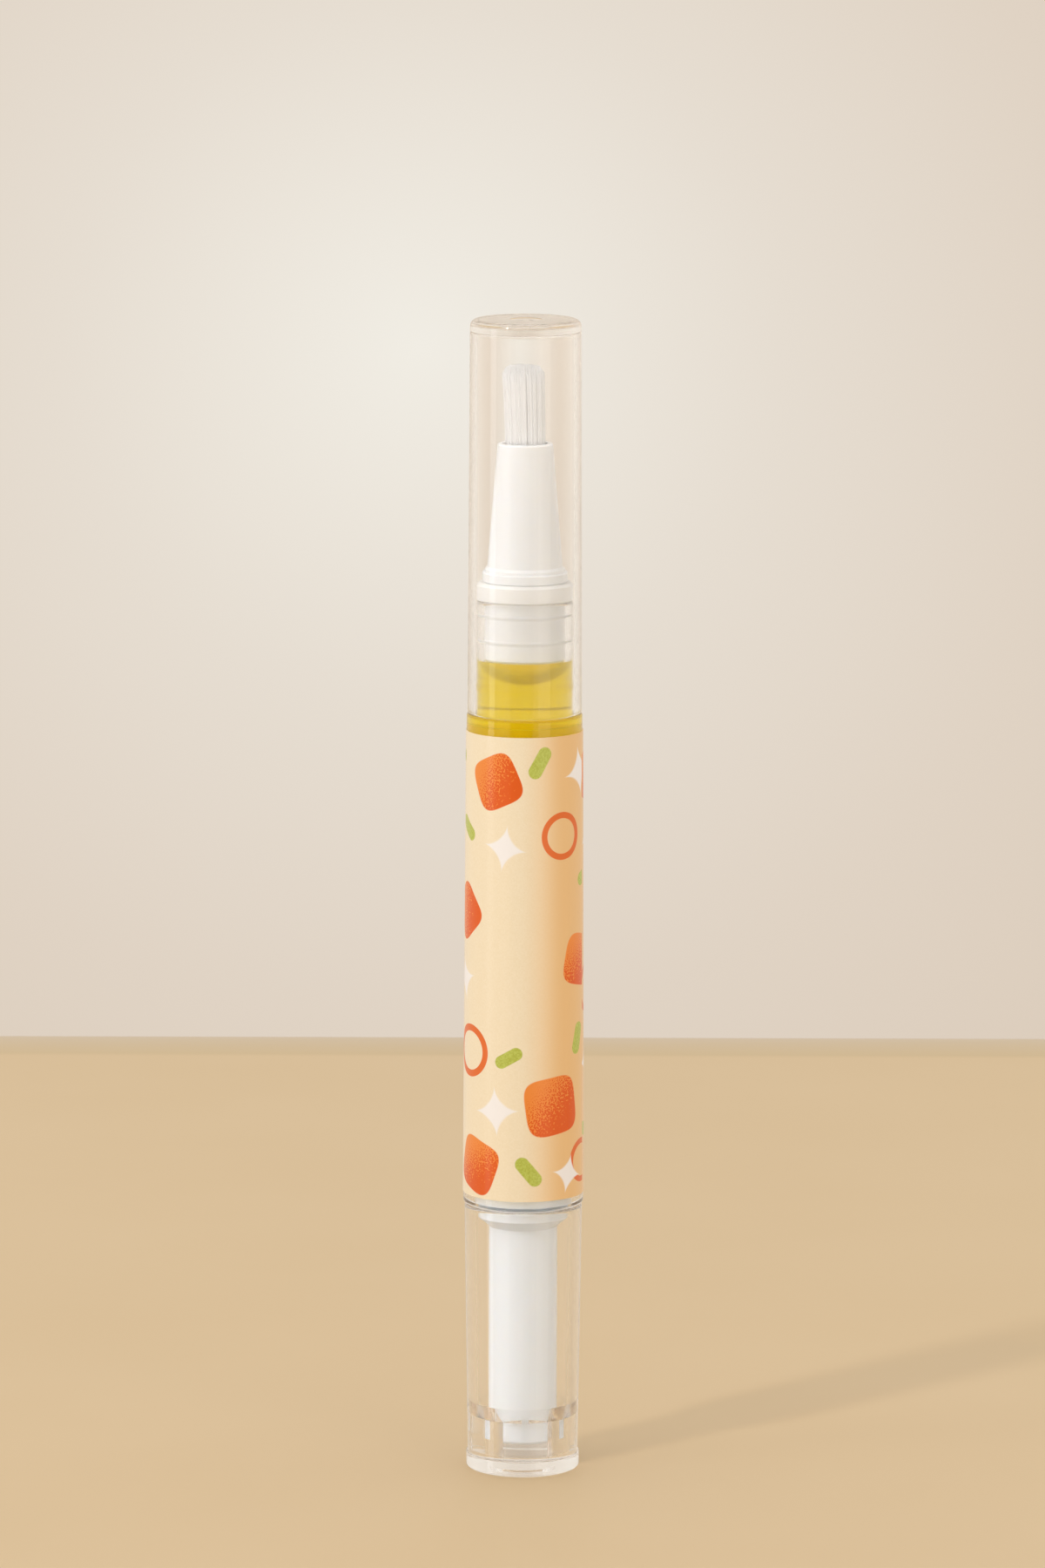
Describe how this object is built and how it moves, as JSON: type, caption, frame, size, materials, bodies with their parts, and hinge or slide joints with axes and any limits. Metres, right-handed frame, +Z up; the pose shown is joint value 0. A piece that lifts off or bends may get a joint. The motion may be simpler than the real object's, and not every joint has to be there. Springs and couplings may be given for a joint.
{
  "type": "nail oil pen",
  "caption": "Clear twist-up nail oil pen with a lift-off cap, a brush tip, an oil-filled barrel with a printed wrap, and a knob that screws the piston up.",
  "frame": {"origin": "centre of the knob's underside, on the surface that the pen stands on", "axes": "+Z up the pen's axis to the cap; -Y faces the viewer of the picture"},
  "size_m": [0.0142, 0.0142, 0.1352],
  "materials": {
    "clear_cap": "clear injection-moulded styrene, polished",
    "clear_barrel": "clear injection-moulded styrene, polished",
    "clear_knob": "clear injection-moulded styrene, polished",
    "nail_oil": "clear yellow oil",
    "label_film": "satin printed polypropylene film",
    "natural_polypropylene": "milky, lightly polished",
    "white_polypropylene": "white, satin",
    "screw_acetal": "white acetal",
    "piston_polyethylene": "soft natural polyethylene",
    "nylon_bristle": "white nylon filament"
  },
  "bodies": {
    "barrel": {"barrel": "clear_barrel", "barrel_oil": "nail_oil", "neck_oil": "nail_oil", "label_wrap": "label_film", "neck_connector": "natural_polypropylene", "feed_tube": "natural_polypropylene", "brush_cone": "white_polypropylene", "brush_bristles": "nylon_bristle", "thread_nut": "natural_polypropylene", "ratchet_ring": "natural_polypropylene"},
    "knob": {"knob": "clear_knob", "drive_core": "white_polypropylene", "click_ring": "natural_polypropylene"},
    "screw": {"screw_rod": "screw_acetal"},
    "piston": {"piston": "piston_polyethylene"},
    "cap": {"cap": "clear_cap"}
  },
  "joints": [
    {"name": "knob_twist", "type": "hinge", "parent": "barrel", "child": "knob", "pos_m": [0, 0, 0.0317], "axis": [0, 0, 1], "range_deg": [0, 4680], "deforming": ["click_ring"]},
    {"name": "screw_advance", "type": "slide", "parent": "knob", "child": "screw", "axis": [0, 0, 1], "range_m": [0, 0.0312]},
    {"name": "piston_advance", "type": "slide", "parent": "barrel", "child": "piston", "axis": [0, 0, 1], "range_m": [0, 0.0312], "deforming": ["barrel_oil"]},
    {"name": "cap_pull", "type": "slide", "parent": "barrel", "child": "cap", "axis": [0, 0, 1], "range_m": [0, 0.055]}
  ],
  "couplings": [
    {"joint": "screw_advance", "follows": "knob_twist", "m_per_rad": 0.00038197},
    {"joint": "piston_advance", "follows": "knob_twist", "m_per_rad": 0.00038197}
  ]
}
